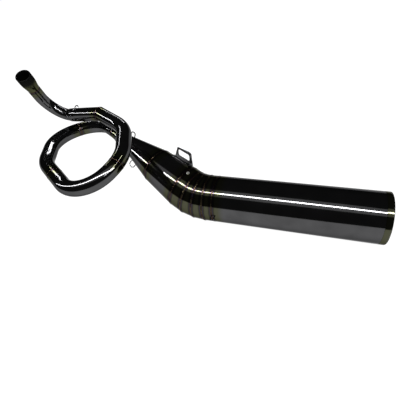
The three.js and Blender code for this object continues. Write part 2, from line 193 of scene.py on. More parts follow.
# The lights over the can lie along it, a little to the near side. Distances are in metres.
ALONG_CAN = Vector((1, 0, 0))
OVER_CAN = Vector((0, -0.342, 0.940))
STRIP_DISTANCE = 1.6
STRIP_UPSTREAM = 1.6
STRIP_SIZE = (0.11, 8.0)
HALO_DISTANCE = 1.9
HALO_SIZE = (1.1, 4.2)
LOOP_STRIP_WIDTH = 0.06
AIR_GLOW = 0.05
FLOOR_SIZE = 14
FLOOR_MIDDLE = 0.4
FLOOR_GAP = 0.0005

CAMERA_AT = (229, -543, 569)
CAMERA_RIGHT = Vector((0.9437, 0.2977, -0.1441))
CAMERA_FORWARD = Vector((-0.3078, 0.6313, -0.7118))
CAMERA_SENSOR = 36
CAMERA_LENS = 25.9615385


# ---- Sizes and finishes that a user would change ------------------------------------------


def can_length_from_frame():
    """The can shell's length in millimetres, from the frame."""
    low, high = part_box("can_shell")
    return round((high.x - low.x) / MM, 1)


CAN_SHELL_LENGTH = can_length_from_frame()


class ExhaustSizes(bpy.types.PropertyGroup):
    """Diameters and thicknesses, in millimetres."""

    header_radius: FloatProperty(
        name="Header radius", description="Outer radius of the header tube, mm", default=17.5)
    loop_radius: FloatProperty(
        name="Loop radius", description="Outer radius of the loop's tube, mm", default=20.0)
    collar_radius: FloatProperty(
        name="Collar radius", description="Outer radius of the inlet collar, mm", default=21.0)
    can_radius: FloatProperty(
        name="Can radius", description="Outer radius of the can, mm", default=62.5)
    wall: FloatProperty(
        name="Wall", description="Wall of tubes, cones and can, mm", default=1.2)
    wire: FloatProperty(
        name="Wire radius", description="Radius of the hook wire, mm", default=1.5)
    bead: FloatProperty(
        name="Bead height", description="How far a heavy weld bead stands proud, mm", default=1.1)
    ripples: IntProperty(
        name="Ripples", description="Ripples round a heavy weld bead", default=60)


class ExhaustFinish(bpy.types.PropertyGroup):
    """Colours of the metal."""

    steel: FloatVectorProperty(
        name="Steel", description="Reflection of the polished dark steel", subtype="COLOR",
        default=(0.070, 0.070, 0.072), min=0, max=1,
    )
    olive: FloatVectorProperty(
        name="Olive tint", description="Outer heat tint round a weld", subtype="COLOR",
        default=(0.060, 0.062, 0.034), min=0, max=1,
    )
    violet: FloatVectorProperty(
        name="Violet tint", description="Middle heat tint beside a weld", subtype="COLOR",
        default=(0.030, 0.023, 0.040), min=0, max=1,
    )
    brown: FloatVectorProperty(
        name="Brown tint", description="Inner heat tint against a weld", subtype="COLOR",
        default=(0.034, 0.021, 0.011), min=0, max=1,
    )
    gloss: FloatProperty(
        name="Roughness", description="Roughness of the polish", subtype="FACTOR", default=0.07, min=0, max=1,
    )


class ExhaustStudio(bpy.types.PropertyGroup):
    """Light of the studio."""

    floor_glow: FloatProperty(name="Floor", description="Brightness of the pale floor", default=1.0)
    strip: FloatProperty(
        name="Strip light", description="Power of the long strip light", unit="POWER", default=135.0)
    loop_strip: FloatProperty(
        name="Loop strips", description="Power of the strips over the loop, per metre",
        unit="POWER", default=6.0)
    halo: FloatProperty(
        name="Halo light", description="Power of the wide soft light", unit="POWER", default=9.0)


def sizes():
    return bpy.context.scene.exhaust_sizes


def finish():
    return bpy.context.scene.exhaust_finish


# ---- The centreline -----------------------------------------------------------------------

Straight = namedtuple("Straight", "start heading length")
Arc = namedtuple("Arc", "start heading centre axis radius angle")


def place(point):
    """A point given in millimetres from the can's front seam, in the frame's metres."""
    return (Vector(point) - INLET) * MM


def direction(start, end):
    return (end - start).normalized()


def route(start, corners, end):
    """Straights and arcs from one point to another, round the corners between them."""
    points = [start] + [corner for corner, radius in corners] + [end]
    moves = []
    here = start
    for before, (corner, radius), after in zip(points, corners, points[2:]):
        inward = direction(before, corner)
        outward = direction(corner, after)
        turn = inward.angle(outward)
        reach = radius * math.tan(turn / 2)
        first = corner - inward * reach
        axis = inward.cross(outward).normalized()
        centre = first + axis.cross(inward) * radius
        moves.append(Straight(here, inward, (first - here).length))
        moves.append(Arc(first, inward, centre, axis, radius, turn))
        here = corner + outward * reach
    moves.append(Straight(here, direction(here, end), (end - here).length))
    return moves


def move_length(move):
    return move.length if isinstance(move, Straight) else move.radius * move.angle


def move_point(move, distance):
    """Point and heading at a distance along a straight or an arc."""
    if isinstance(move, Straight):
        return move.start + move.heading * distance, move.heading
    turn = Quaternion(move.axis, distance / move.radius)
    return move.centre + turn @ (move.start - move.centre), turn @ move.heading


def trimmed(moves, start, end):
    """The part of a route between two distances along it."""
    kept = []
    passed = 0.0
    for move in moves:
        length = move_length(move)
        low = max(start - passed, 0.0)
        high = min(end - passed, length)
        passed += length
        if high - low < TINY:
            continue
        point, heading = move_point(move, low)
        if isinstance(move, Straight):
            kept.append(Straight(point, heading, high - low))
        else:
            kept.append(move._replace(start=point, heading=heading, angle=(high - low) / move.radius))
    return kept


def route_length(moves):
    return sum(move_length(move) for move in moves)


def route_point(moves, distance):
    """Point and heading at a distance along a whole route."""
    for move in moves[:-1]:
        if distance <= move_length(move):
            return move_point(move, distance)
        distance -= move_length(move)
    return move_point(moves[-1], distance)


def header_route():
    start = place(INLET)
    corners = [(place(point), radius * MM) for point, radius in HEADER_CORNERS]
    end = slip_mouth_a() + slip_heading_a() * SLIP_DEPTH * MM
    whole = route(start, corners, end)
    return trimmed(whole, (COLLAR_LENGTH + COLLAR_TAPER) * MM, route_length(whole))


def slip_heading_a():
    return direction(place(HEADER_CORNERS[-1][0]), place(MITRE))


def slip_mouth_a():
    return place(HEADER_CORNERS[-1][0]) + slip_heading_a() * HEADER_END_TO_SOCKET * MM


def in_bend_plane(x, y):
    """A direction or offset in the plane of the megaphone's bend."""
    return Vector((x, y * math.cos(BEND_ROLL), y * math.sin(BEND_ROLL)))


def bend_heading(angle):
    return in_bend_plane(math.cos(angle), -math.sin(angle))


Seam = namedtuple("Seam", "point angle")


def seams():
    """The megaphone's seams from the can upstream, each with the heading of the piece after it."""
    found = [Seam(place((0, 0, 0)), 0.0)]
    angle = 0.0
    for length, turn in BEND_PIECES:
        angle += math.radians(turn)
        step = bend_heading(angle) * length * MM
        found.append(Seam(found[-1].point - step, angle))
    return found


def slip_heading_b():
    return bend_heading(seams()[-1].angle)


def slip_mouth_b():
    return seams()[-1].point - slip_heading_b() * SOCKET_LENGTH * MM


def loop_route():
    corners = [(place(point), radius * MM) for point, radius in LOOP_CORNERS]
    last = slip_mouth_b() - slip_heading_b() * LAST_BEND_TO_SOCKET * MM
    corners.append((last, LAST_BEND_RADIUS * MM))
    return route(place(MITRE), corners, slip_mouth_b() - slip_heading_b() * SPIGOT_BEFORE_SOCKET * MM)


# ---- Modelling ----------------------------------------------------------------------------


def deselect_all():
    if bpy.context.object and bpy.context.object.mode != "OBJECT":
        bpy.ops.object.mode_set(mode="OBJECT")
    bpy.ops.object.select_all(action="DESELECT")


def pick(*pieces):
    """Selects these pieces alone and makes the first one active."""
    deselect_all()
    for piece in pieces:
        piece.select_set(True)
    bpy.context.view_layer.objects.active = pieces[0]


def facing(heading):
    """Rotation that turns +Z to a heading."""
    return heading.to_track_quat("Z", "Y").to_euler()


def ring(centre, heading, radius, segments):
    """Adds a circle across a heading and opens it for editing."""
    deselect_all()
    bpy.ops.mesh.primitive_circle_add(
        vertices=segments, radius=radius, location=centre, rotation=facing(heading))
    bpy.ops.object.mode_set(mode="EDIT")
    bpy.ops.mesh.select_all(action="SELECT")


def extrude_ring(step, scale, centre):
    """Extrudes the selected ring by a step and scales it about its new centre."""
    bpy.ops.mesh.extrude_edges_move(TRANSFORM_OT_translate={"value": step})
    if abs(scale - 1) > TINY:
        bpy.ops.transform.resize(value=(scale, scale, scale), center_override=centre)


def extrude_far(start, heading, length, first_radius=1.0, last_radius=1.0):
    """Extrudes the selected ring in short steps, so that it has points for the heat marks."""
    count = max(1, round(length / (RING_STEP * MM)))
    radius = first_radius
    for i in range(count):
        share = (i + 1) / count
        next_radius = first_radius + (last_radius - first_radius) * share
        extrude_ring(heading * length / count, next_radius / radius, start + heading * length * share)
        radius = next_radius


def follow(moves):
    """Extrudes and spins the selected ring along a route."""
    for move in moves:
        if isinstance(move, Straight):
            extrude_far(move.start, move.heading, move.length)
        else:
            steps = max(2, math.ceil(move.angle / BEND_STEP))
            bpy.ops.mesh.spin(
                steps=steps, angle=-move.angle, center=move.centre, axis=move.axis, use_auto_merge=False)


def close_up(name, outwards=True):
    """Merges doubles, turns the faces outwards and leaves edit mode. Returns the named piece."""
    bpy.ops.mesh.select_all(action="SELECT")
    bpy.ops.mesh.remove_doubles(threshold=TINY)
    if outwards:
        bpy.ops.mesh.normals_make_consistent(inside=False)
    bpy.ops.object.mode_set(mode="OBJECT")
    return settle_place(name)


def settle_place(name):
    """Names the active piece and moves its place into its mesh."""
    bpy.ops.object.transform_apply(location=True, rotation=True, scale=True)
    piece = bpy.context.active_object
    piece.name = name
    piece.data.name = name
    return piece


def finish_with(piece, kind, **settings):
    """Adds a modifier to a piece and applies it."""
    pick(piece)
    modifier = piece.modifiers.new(kind.title(), kind)
    for name, value in settings.items():
        setattr(modifier, name, value)
    bpy.ops.object.modifier_apply(modifier=modifier.name)


def soften(piece, width=0.3, segments=2):
    """Rounds a piece's sharp edges and smooths the rest. The width is in millimetres."""
    finish_with(
        piece, "BEVEL", width=width * MM, segments=segments, limit_method="ANGLE",
        angle_limit=BEVEL_ABOVE, use_clamp_overlap=True, harden_normals=False)
    smooth(piece)


def smooth(piece):
    pick(piece)
    bpy.ops.object.shade_smooth_by_angle(angle=SMOOTH_BELOW)


def thicken(piece, wall):
    finish_with(piece, "SOLIDIFY", thickness=wall * MM, offset=-1, use_even_offset=True)


def walled(name, wall):
    """Closes up the open sheet that is being edited and gives it its wall."""
    piece = close_up(name)
    thicken(piece, wall)
    smooth(piece)
    return piece


def bent_tube(name, moves, radius, wall):
    """A tube that follows a route. The radius is in millimetres."""
    ring(moves[0].start, moves[0].heading, radius * MM, TUBE_SEGMENTS)
    follow(moves)
    return walled(name, wall)


def cut(point, normal):
    """Cuts the open mesh by a plane and drops the part on the normal's side."""
    bpy.ops.mesh.select_all(action="SELECT")
    bpy.ops.mesh.bisect(plane_co=point, plane_no=normal, clear_outer=True, use_fill=False)


def cone_between(name, start, end, radii, planes, wall):
    """A cone or slice between two seam planes, each a point and a normal that points out of it."""
    heading = direction(start, end)
    length = (end - start).length
    slope = (radii[1] - radii[0]) * MM / length
    spare = max(radii) * LEAN_SPARE * MM
    first = start - heading * spare
    radius = radii[0] * MM - slope * spare
    ring(first, heading, radius, CAN_SEGMENTS)
    extrude_far(first, heading, length + 2 * spare, radius, radii[1] * MM + slope * spare)
    for point, normal in planes:
        cut(point, normal)
    return walled(name, wall)


def turned(name, origin, heading, outline, segments=CAN_SEGMENTS, round_edges=0.3):
    """A closed outline of (distance, radius) pairs in millimetres, turned about a heading."""
    distance, radius = outline[0]
    ring(origin + heading * distance * MM, heading, radius * MM, segments)
    for next_distance, next_radius in outline[1:] + outline[:1]:
        step = heading * (next_distance - distance) * MM
        extrude_ring(step, next_radius / radius, origin + heading * next_distance * MM)
        distance, radius = next_distance, next_radius
    piece = close_up(name)
    soften(piece, round_edges)
    return piece


def weld_bead(name, centre, normal, radius, height, ripples):
    """A weld bead round a tube, as a flattened ring with ripples. Sizes are in millimetres."""
    deselect_all()
    round_count = ripples * POINTS_PER_RIPPLE
    bpy.ops.mesh.primitive_torus_add(
        location=(0, 0, 0), major_segments=round_count, minor_segments=BEAD_SIDES,
        major_radius=radius * MM, minor_radius=height * MM)
    piece = bpy.context.active_object
    bpy.ops.object.mode_set(mode="EDIT")
    bpy.ops.mesh.select_all(action="SELECT")
    bpy.ops.transform.resize(value=(1, 1, BEAD_STRETCH), center_override=(0, 0, 0))
    bpy.ops.mesh.select_all(action="DESELECT")
    bpy.ops.object.mode_set(mode="OBJECT")
    for vertex in piece.data.vertices:
        step = round(math.atan2(vertex.co.y, vertex.co.x) / (2 * math.pi) * round_count)
        vertex.select = step % POINTS_PER_RIPPLE == 0
    bpy.ops.object.mode_set(mode="EDIT")
    bpy.ops.mesh.select_mode(type="VERT")
    bpy.ops.transform.shrink_fatten(value=-height * RIPPLE_DEPTH * MM)
    bpy.ops.object.mode_set(mode="OBJECT")
    bpy.ops.object.shade_smooth()
    piece.matrix_world = Matrix.Translation(centre) @ facing(normal).to_matrix().to_4x4()
    return settle_place(name)


def wire_hook(name, at, heading, foot, around, size, slope):
    """A wire staple that stands on a tube, its legs one after the other along the tube."""
    wire = sizes().wire
    across = Vector((0, 0, 1)).cross(heading).normalized()
    basis = Matrix((heading, heading.cross(across), -across)).transposed()
    turn = basis @ Matrix.Rotation(around, 3, "X")
    lean = Matrix.Rotation(slope, 3, "Z")

    def stand(x, y):
        return at + turn @ (lean @ Vector((x, y, 0)) + Vector((0, foot, 0))) * MM

    half = size[0] / 2 - wire
    top = size[1] - wire
    bow = min(half, top) * HOOK_ROUNDING * MM
    moves = route(
        stand(-half * HOOK_STANCE, wire * HOOK_SINK),
        [(stand(-half, top), bow), (stand(half, top), bow)],
        stand(half * HOOK_STANCE, wire * HOOK_SINK))
    pool = POOL_LENGTH * MM
    first = moves[0]
    ring(first.start - first.heading * pool, first.heading, wire * POOL_FLARE * MM, WIRE_SEGMENTS)
    bpy.ops.mesh.edge_face_add()
    bpy.ops.mesh.select_all(action="DESELECT")
    select_boundary()
    extrude_ring(first.heading * pool, 1 / POOL_FLARE, first.start)
    follow(moves)
    end, last_heading = route_point(moves, route_length(moves))
    extrude_ring(last_heading * pool, POOL_FLARE, end + last_heading * pool)
    bpy.ops.mesh.edge_face_add()
    piece = close_up(name)
    smooth(piece)
    return piece


def select_boundary():
    """Selects the rim of the one face that has been filled."""
    bpy.ops.object.mode_set(mode="OBJECT")
    mesh = bpy.context.active_object.data
    for edge in mesh.edges:
        edge.select = True
    for face in mesh.polygons:
        face.select = False
    bpy.ops.object.mode_set(mode="EDIT")
    bpy.ops.mesh.select_mode(type="EDGE")


def slip_socket(name, mouth, heading, inner, outer, lead):
    """The socket of a slip joint from its mouth, whose bore opens by a lead, with a rounded rim."""
    outline = [(0, inner + lead), (1.0, inner), (SOCKET_LENGTH, inner), (SOCKET_LENGTH, outer),
               (1.2, outer), (0.3, outer - 0.35), (0, outer - 0.9)]
    return turned(name, mouth, heading, outline, TURNED_SEGMENTS, 0.2)


# ---- Heat marks ---------------------------------------------------------------------------


def mark_heat(piece, welds, mouth=None):
    """Stores how far each point is from the nearest weld, and from the inlet mouth, in metres.

    Each weld is a point on the centreline and the heading there.
    """
    near = piece.data.attributes.new("weld_distance", "FLOAT", "POINT")
    inlet = piece.data.attributes.new("mouth_distance", "FLOAT", "POINT")
    for i, vertex in enumerate(piece.data.vertices):
        closest = FAR_FROM_WELDS
        for point, heading in welds:
            offset = vertex.co - point
            if offset.length < HEAT_REACH:
                closest = min(closest, abs(offset.dot(heading)))
        near.data[i].value = closest
        inlet.data[i].value = (vertex.co - mouth[0]).dot(mouth[1]) if mouth else FAR_FROM_WELDS


# ---- Finishes -----------------------------------------------------------------------------


def add_node(tree, kind, **settings):
    node = tree.nodes.new(kind)
    for name, value in settings.items():
        setattr(node, name, value)
    return node


def ramp(tree, factor, stops):
    """A colour ramp: stops are (position, colour or grey value)."""
    node = add_node(tree, "ShaderNodeValToRGB")
    elements = node.color_ramp.elements
    while len(elements) < len(stops):
        elements.new(0.5)
    for element, (position, value) in zip(elements, stops):
        element.position = position
        grey = (value,) * 3 if isinstance(value, (int, float)) else tuple(value)
        element.color = (*grey, 1)
    tree.links.new(factor, node.inputs["Fac"])
    return node.outputs["Color"]


def noise(tree, scale, detail, stretch=(1, 1, 1)):
    """Noise on the piece's own coordinates, stretched along an axis."""
    place_node = add_node(tree, "ShaderNodeTexCoord")
    mapping = add_node(tree, "ShaderNodeMapping")
    mapping.inputs["Scale"].default_value = stretch
    texture = add_node(tree, "ShaderNodeTexNoise")
    texture.inputs["Scale"].default_value = scale
    texture.inputs["Detail"].default_value = detail
    tree.links.new(place_node.outputs["Object"], mapping.inputs["Vector"])
    tree.links.new(mapping.outputs["Vector"], texture.inputs["Vector"])
    return texture.outputs["Fac"]


def mixed(tree, factor, first, second):
    """Mixes two colours; each may be a socket or a plain colour."""
    node = add_node(tree, "ShaderNodeMix", data_type="RGBA")
    for socket, value in (("Factor", factor), ("A", first), ("B", second)):
        target = [i for i in node.inputs if i.name == socket and i.enabled][0]
        if isinstance(value, bpy.types.NodeSocket):
            tree.links.new(value, target)
        elif socket == "Factor":
            target.default_value = value
        else:
            target.default_value = (*value, 1)
    return [o for o in node.outputs if o.enabled][0]


def attribute_mm(tree, name, span):
    """A distance attribute as a factor from 0 to 1 over a span in millimetres."""
    source = add_node(tree, "ShaderNodeAttribute", attribute_name=name)
    scaled = add_node(tree, "ShaderNodeMapRange", clamp=True)
    scaled.inputs["From Max"].default_value = span * MM
    tree.links.new(source.outputs["Fac"], scaled.inputs["Value"])
    return scaled.outputs["Result"]


def wobble(tree, factor, amount):
    """Adds a little noise to a factor so that a band's edge isn't a perfect line."""
    centred = add_node(tree, "ShaderNodeMath", operation="MULTIPLY_ADD")
    tree.links.new(noise(tree, 90, 3), centred.inputs[0])
    centred.inputs[1].default_value = amount
    centred.inputs[2].default_value = -amount / 2
    total = add_node(tree, "ShaderNodeMath", operation="ADD")
    tree.links.new(factor, total.inputs[0])
    tree.links.new(centred.outputs[0], total.inputs[1])
    return total.outputs[0]


def new_material(name):
    material = bpy.data.materials.new(name)
    material.use_nodes = True
    tree = material.node_tree
    shader = tree.nodes["Principled BSDF"]
    return material, tree, shader


def bare_metal(tree, shader, colour, roughness):
    """Gives the shader a metal's colour and roughness, darker at grazing angles."""
    tree.links.new(colour, shader.inputs["Base Color"])
    tree.links.new(roughness, shader.inputs["Roughness"])
    shader.inputs["Metallic"].default_value = 1.0
    shader.inputs["Specular Tint"].default_value = (EDGE_TINT, EDGE_TINT, EDGE_TINT, 1)


def bump(tree, shader, height, strength, depth):
    node = add_node(tree, "ShaderNodeBump")
    node.inputs["Strength"].default_value = strength
    node.inputs["Distance"].default_value = depth * MM
    tree.links.new(height, node.inputs["Height"])
    tree.links.new(node.outputs["Normal"], shader.inputs["Normal"])


def polished_steel(name="dark_polished_steel"):
    """Dark polished steel that takes heat tints near its welds."""
    material, tree, shader = new_material(name)
    colours = finish()
    steel = Vector(colours.steel)
    base = ramp(tree, noise(tree, 22, 4), [(0.3, steel * 0.86), (0.7, steel * 1.12)])
    distance = wobble(tree, attribute_mm(tree, "weld_distance", 40), 0.06)
    tint = ramp(tree, distance, [
        (0.0, colours.brown),
        (0.05, colours.brown),
        (0.09, colours.violet),
        (0.16, Vector(colours.olive) * 0.35),
        (0.24, colours.olive),
        (0.45, colours.olive),
        (1.0, steel),
    ])
    strength = ramp(tree, distance, [(0.0, 0.95), (0.45, 0.8), (0.85, 0.0)])
    gloss = colours.gloss
    smears = ramp(tree, noise(tree, 35, 6), [(0.35, gloss * 0.6), (0.75, gloss * 1.7)])
    bare_metal(tree, shader, mixed(tree, strength, base, tint), smears)
    bump(tree, shader, noise(tree, 14, 2), 0.008, 0.35)
    return material


def sooted_steel():
    """The inlet collar: soot at the mouth, olive tint over the taper."""
    material, tree, shader = new_material("sooted_steel")
    colours = finish()
    along = wobble(tree, attribute_mm(tree, "mouth_distance", 80), 0.05)
    base = ramp(tree, along, [
        (0.0, (0.006, 0.006, 0.006)),
        (0.22, (0.010, 0.010, 0.009)),
        (0.34, Vector(colours.olive) * 0.75),
        (0.56, Vector(colours.olive) * 1.05),
        (0.80, colours.steel),
    ])
    bare_metal(tree, shader, base, ramp(tree, along, [(0.2, 0.55), (0.45, 0.12)]))
    bump(tree, shader, noise(tree, 160, 5), 0.25, 0.1)
    return material


def plain_metal(name, colour, roughness, stretch=(1, 1, 1)):
    """A bare metal with fine grain."""
    material, tree, shader = new_material(name)
    base = ramp(tree, noise(tree, GRAIN, 5, stretch), [
        (0.25, Vector(colour) * 0.7), (0.75, Vector(colour) * 1.2)])
    spread = ramp(tree, noise(tree, GRAIN / 3, 4, stretch), [(0.3, roughness * 0.8), (0.7, roughness * 1.3)])
    bare_metal(tree, shader, base, spread)
    bump(tree, shader, noise(tree, GRAIN * 2, 4, stretch), 0.3, 0.05)
    return material


def bead_steel():
    """Weld metal: brighter than the sheet, with straw, brown and blue patches."""
    material, tree, shader = new_material("weld_steel")
    colour = ramp(tree, noise(tree, 60, 3), [
        (0.30, (0.020, 0.018, 0.030)),
        (0.42, (0.034, 0.021, 0.013)),
        (0.52, (0.060, 0.050, 0.030)),
        (0.66, (0.028, 0.026, 0.014)),
    ])
    bare_metal(tree, shader, colour, ramp(tree, noise(tree, 200, 4), [(0.3, 0.16), (0.7, 0.3)]))
    bump(tree, shader, noise(tree, 500, 3), 0.3, 0.06)
    return material


def wool_fibre():
    """The sound absorbing wool, with its fibres along the can."""
    material, tree, shader = new_material("packing_wool")
    fibres = noise(tree, 300, 8, (1, 6, 6))
    tree.links.new(ramp(tree, fibres, [(0.3, (0.42, 0.38, 0.28)), (0.7, (0.7, 0.66, 0.54))]),
                   shader.inputs["Base Color"])
    shader.inputs["Roughness"].default_value = 0.95
    bump(tree, shader, fibres, 0.8, 0.5)
    return material


def perforated_steel():
    """The core tube: rows of small holes drawn on its own coordinates, painted near-black as painted shade
    inside them.
    """
    material, tree, shader = new_material("perforated_steel")
    place_node = add_node(tree, "ShaderNodeTexCoord")
    split = add_node(tree, "ShaderNodeSeparateXYZ")
    tree.links.new(place_node.outputs["Object"], split.inputs[0])
    centre = place((0, 0, 0))
    around = add_node(tree, "ShaderNodeMath", operation="ARCTAN2")
    for i, (axis, middle) in enumerate((("Z", centre.z), ("Y", centre.y))):
        offset = add_node(tree, "ShaderNodeMath", operation="SUBTRACT")
        offset.inputs[1].default_value = middle
        tree.links.new(split.outputs[axis], offset.inputs[0])
        tree.links.new(offset.outputs[0], around.inputs[i])
    waves = []
    rates = ((around.outputs[0], HOLES_AROUND), (split.outputs["X"], 2 * math.pi / (HOLE_PITCH * MM)))
    for source, rate in rates:
        scaled = add_node(tree, "ShaderNodeMath", operation="MULTIPLY")
        scaled.inputs[1].default_value = rate
        wave = add_node(tree, "ShaderNodeMath", operation="COSINE")
        tree.links.new(source, scaled.inputs[0])
        tree.links.new(scaled.outputs[0], wave.inputs[0])
        waves.append(wave.outputs[0])
    both = add_node(tree, "ShaderNodeMath", operation="ADD")
    tree.links.new(waves[0], both.inputs[0])
    tree.links.new(waves[1], both.inputs[1])
    holes = ramp(tree, both.outputs[0], [(0.55, 1.0), (0.75, 0.0)])
    # The holes are painted near-black as painted shade inside them; the steel between them keeps its own
    # grey.
    tree.links.new(mixed(tree, holes, (0.004, 0.004, 0.004), (0.19, 0.18, 0.16)), shader.inputs["Base Color"])
    shader.inputs["Metallic"].default_value = 0.9
    shader.inputs["Roughness"].default_value = 0.45
    bump(tree, shader, holes, 0.5, 0.4)
    return material


MATERIALS = {}


def material(name):
    """Makes each finish once and gives it again after that."""
    makers = {
        "dark": polished_steel,
        "tinted": lambda: polished_steel("heat_tinted_steel"),
        "soot": sooted_steel,
        "plug": lambda: plain_metal("bright_steel", (0.62, 0.62, 0.6), 0.25),
        "wire": lambda: plain_metal("plain_steel_wire", (0.22, 0.22, 0.23), 0.3),
        # A darkened copy of the plain wire steel: painted shade for the hooks that are to look dark.
        "shaded_wire": lambda: plain_metal("shaded_steel_wire", (0.05, 0.05, 0.055), 0.22),
        "inner": lambda: plain_metal("inner_steel", (0.17, 0.165, 0.15), 0.42, stretch=(0.2, 1, 1)),
        "weld": bead_steel,
        "core": perforated_steel,
        "wool": wool_fibre,
    }
    if name not in MATERIALS:
        MATERIALS[name] = makers[name]()
    return MATERIALS[name]


def coat(piece, finish_name):
    """Gives a piece one finish in place of what it has."""
    piece.data.materials.clear()
    piece.data.materials.append(material(finish_name))


def settle(piece, body, finish_name, slot, *nodes):
    """Gives a finished piece its material and its body, and hides the nodes it stands for. The slot is not
    used.
    """
    coat(piece, finish_name)
    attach(piece, body)
    if nodes:
        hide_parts(*nodes)


# ---- Header -------------------------------------------------------------------------------


def mouth_heading():
    return direction(place(INLET), place(HEADER_CORNERS[0][0]))


class EXHAUST_OT_collar(bpy.types.Operator):
    """Adds the collar at the inlet mouth"""

    bl_idname = "exhaust.collar"
    bl_label = "Inlet Collar"

    def execute(self, context):
        header = sizes().header_radius
        collar = sizes().collar_radius
        taper_end = COLLAR_LENGTH + COLLAR_TAPER
        outline = [(0, header + 1.2), (1.2, header), (COLLAR_LENGTH, header),
                   (taper_end, header - sizes().wall), (taper_end, header)]
        outline += [(COLLAR_LENGTH + 4, collar - 0.25), (COLLAR_LENGTH, collar), (1.5, collar),
                    (0.4, collar - 0.4), (0, collar - 1.2)]
        piece = turned("collar", place(INLET), mouth_heading(), outline, TURNED_SEGMENTS, 0.4)
        mark_heat(piece, [], (place(INLET), mouth_heading()))
        settle(piece, "header", "soot", "sooted_steel", "inlet_collar")
        return {"FINISHED"}


class EXHAUST_OT_header(bpy.types.Operator):
    """Adds the bent header tube"""

    bl_idname = "exhaust.header"
    bl_label = "Header Tube"

    def execute(self, context):
        moves = header_route()
        piece = bent_tube("header_tube", moves, sizes().header_radius, sizes().wall)
        mark_heat(piece, [(moves[0].start, moves[0].heading)])
        settle(piece, "header", "dark", "dark_polished_steel", "header_pipe")
        return {"FINISHED"}


# ---- Loop ---------------------------------------------------------------------------------


def mitre_normal():
    leaving = direction(place(MITRE), place(LOOP_CORNERS[0][0]))
    return (slip_heading_a() + leaving).normalized()


def loop_welds():
    """Points and headings of the loop's welds, the mitre first."""
    whole = loop_route()
    welds = [(place(MITRE), mitre_normal())]
    welds += [route_point(whole, distance * MM) for distance in LOOP_WELDS]
    return welds


class EXHAUST_OT_loop_inlet(bpy.types.Operator):
    """Adds the loop's inlet socket and the straight tube after it"""

    bl_idname = "exhaust.loop_inlet"
    bl_label = "Loop Inlet"

    def execute(self, context):
        outer = sizes().loop_radius
        inner = sizes().header_radius + SLIP_CLEARANCE
        socket = slip_socket("loop_socket", slip_mouth_a(), slip_heading_a(), inner, outer, 0.8)
        mark_heat(socket, [])
        settle(socket, "loop", "dark", "dark_polished_steel", "loop_inlet_socket")

        start = slip_mouth_a() + slip_heading_a() * SOCKET_LENGTH * MM
        length = (place(MITRE) - start).length + SPARE * MM
        ring(start, slip_heading_a(), outer * MM, TUBE_SEGMENTS)
        extrude_far(start, slip_heading_a(), length)
        cut(place(MITRE), mitre_normal())
        tube = walled("loop_entry_tube", sizes().wall)
        mark_heat(tube, loop_welds()[:1])
        settle(tube, "loop", "dark", "dark_polished_steel", "loop_entry_pipe")
        return {"FINISHED"}


class EXHAUST_OT_loop_bends(bpy.types.Operator):
    """Adds the loop's four bent tubes and the straight end"""

    bl_idname = "exhaust.loop_bends"
    bl_label = "Loop Bends"

    def execute(self, context):
        whole = loop_route()
        welds = loop_welds()
        ends = [0] + [distance * MM for distance in LOOP_WELDS] + [route_length(whole)]
        names = ("right", "near", "left", "back")
        for i, name in enumerate(names):
            moves = trimmed(whole, ends[i], ends[i + 1])
            if i == 0:
                spare = SPARE * MM
                first = moves[0]
                moves[0] = Straight(first.start - first.heading * spare, first.heading, first.length + spare)
                ring(moves[0].start, moves[0].heading, sizes().loop_radius * MM, TUBE_SEGMENTS)
                extrude_far(*moves[0])
                cut(place(MITRE), -mitre_normal())
                select_far_ring(moves[0].start + moves[0].heading * moves[0].length, moves[0].heading)
                follow(moves[1:])
                piece = walled(f"loop_tube_{name}", sizes().wall)
            else:
                piece = bent_tube(f"loop_tube_{name}", moves, sizes().loop_radius, sizes().wall)
            mark_heat(piece, welds[i:i + 2])
            settle(piece, "loop", "dark", "dark_polished_steel", f"loop_bend_{name}")
        start = slip_mouth_b() - slip_heading_b() * SPIGOT_BEFORE_SOCKET * MM
        outer = sizes().loop_radius
        length = SPIGOT_BEFORE_SOCKET + SLIP_DEPTH
        outline = [(0, outer - sizes().wall), (0, outer), (length - 0.6, outer),
                   (length, outer - 0.5), (length, outer - sizes().wall)]
        spigot = turned("loop_spigot", start, slip_heading_b(), outline, TURNED_SEGMENTS, 0.15)
        mark_heat(spigot, [(start, slip_heading_b())])
        settle(spigot, "loop", "dark", "dark_polished_steel", "loop_outlet_spigot")
        return {"FINISHED"}


def select_far_ring(point, heading):
    """Selects the edges that lie in the plane through a point, across a heading."""
    bpy.ops.mesh.select_all(action="DESELECT")
    bpy.ops.object.mode_set(mode="OBJECT")
    piece = bpy.context.active_object
    mesh = piece.data
    flat = [abs((piece.matrix_world @ v.co - point).dot(heading)) < SAME_PLACE for v in mesh.vertices]
    for vertex, on_plane in zip(mesh.vertices, flat):
        vertex.select = on_plane
    for edge in mesh.edges:
        edge.select = all(flat[v] for v in edge.vertices)
    bpy.ops.object.mode_set(mode="EDIT")
    bpy.ops.mesh.select_mode(type="EDGE")


# ---- Megaphone ----------------------------------------------------------------------------


def megaphone_welds():
    """Point and normal of each seam from the can upstream, without the socket's."""
    found = seams()
    welds = []
    for i, seam in enumerate(found[:-1]):
        welds.append((seam.point, bend_heading((seam.angle + found[i + 1].angle) / 2)))
    return welds


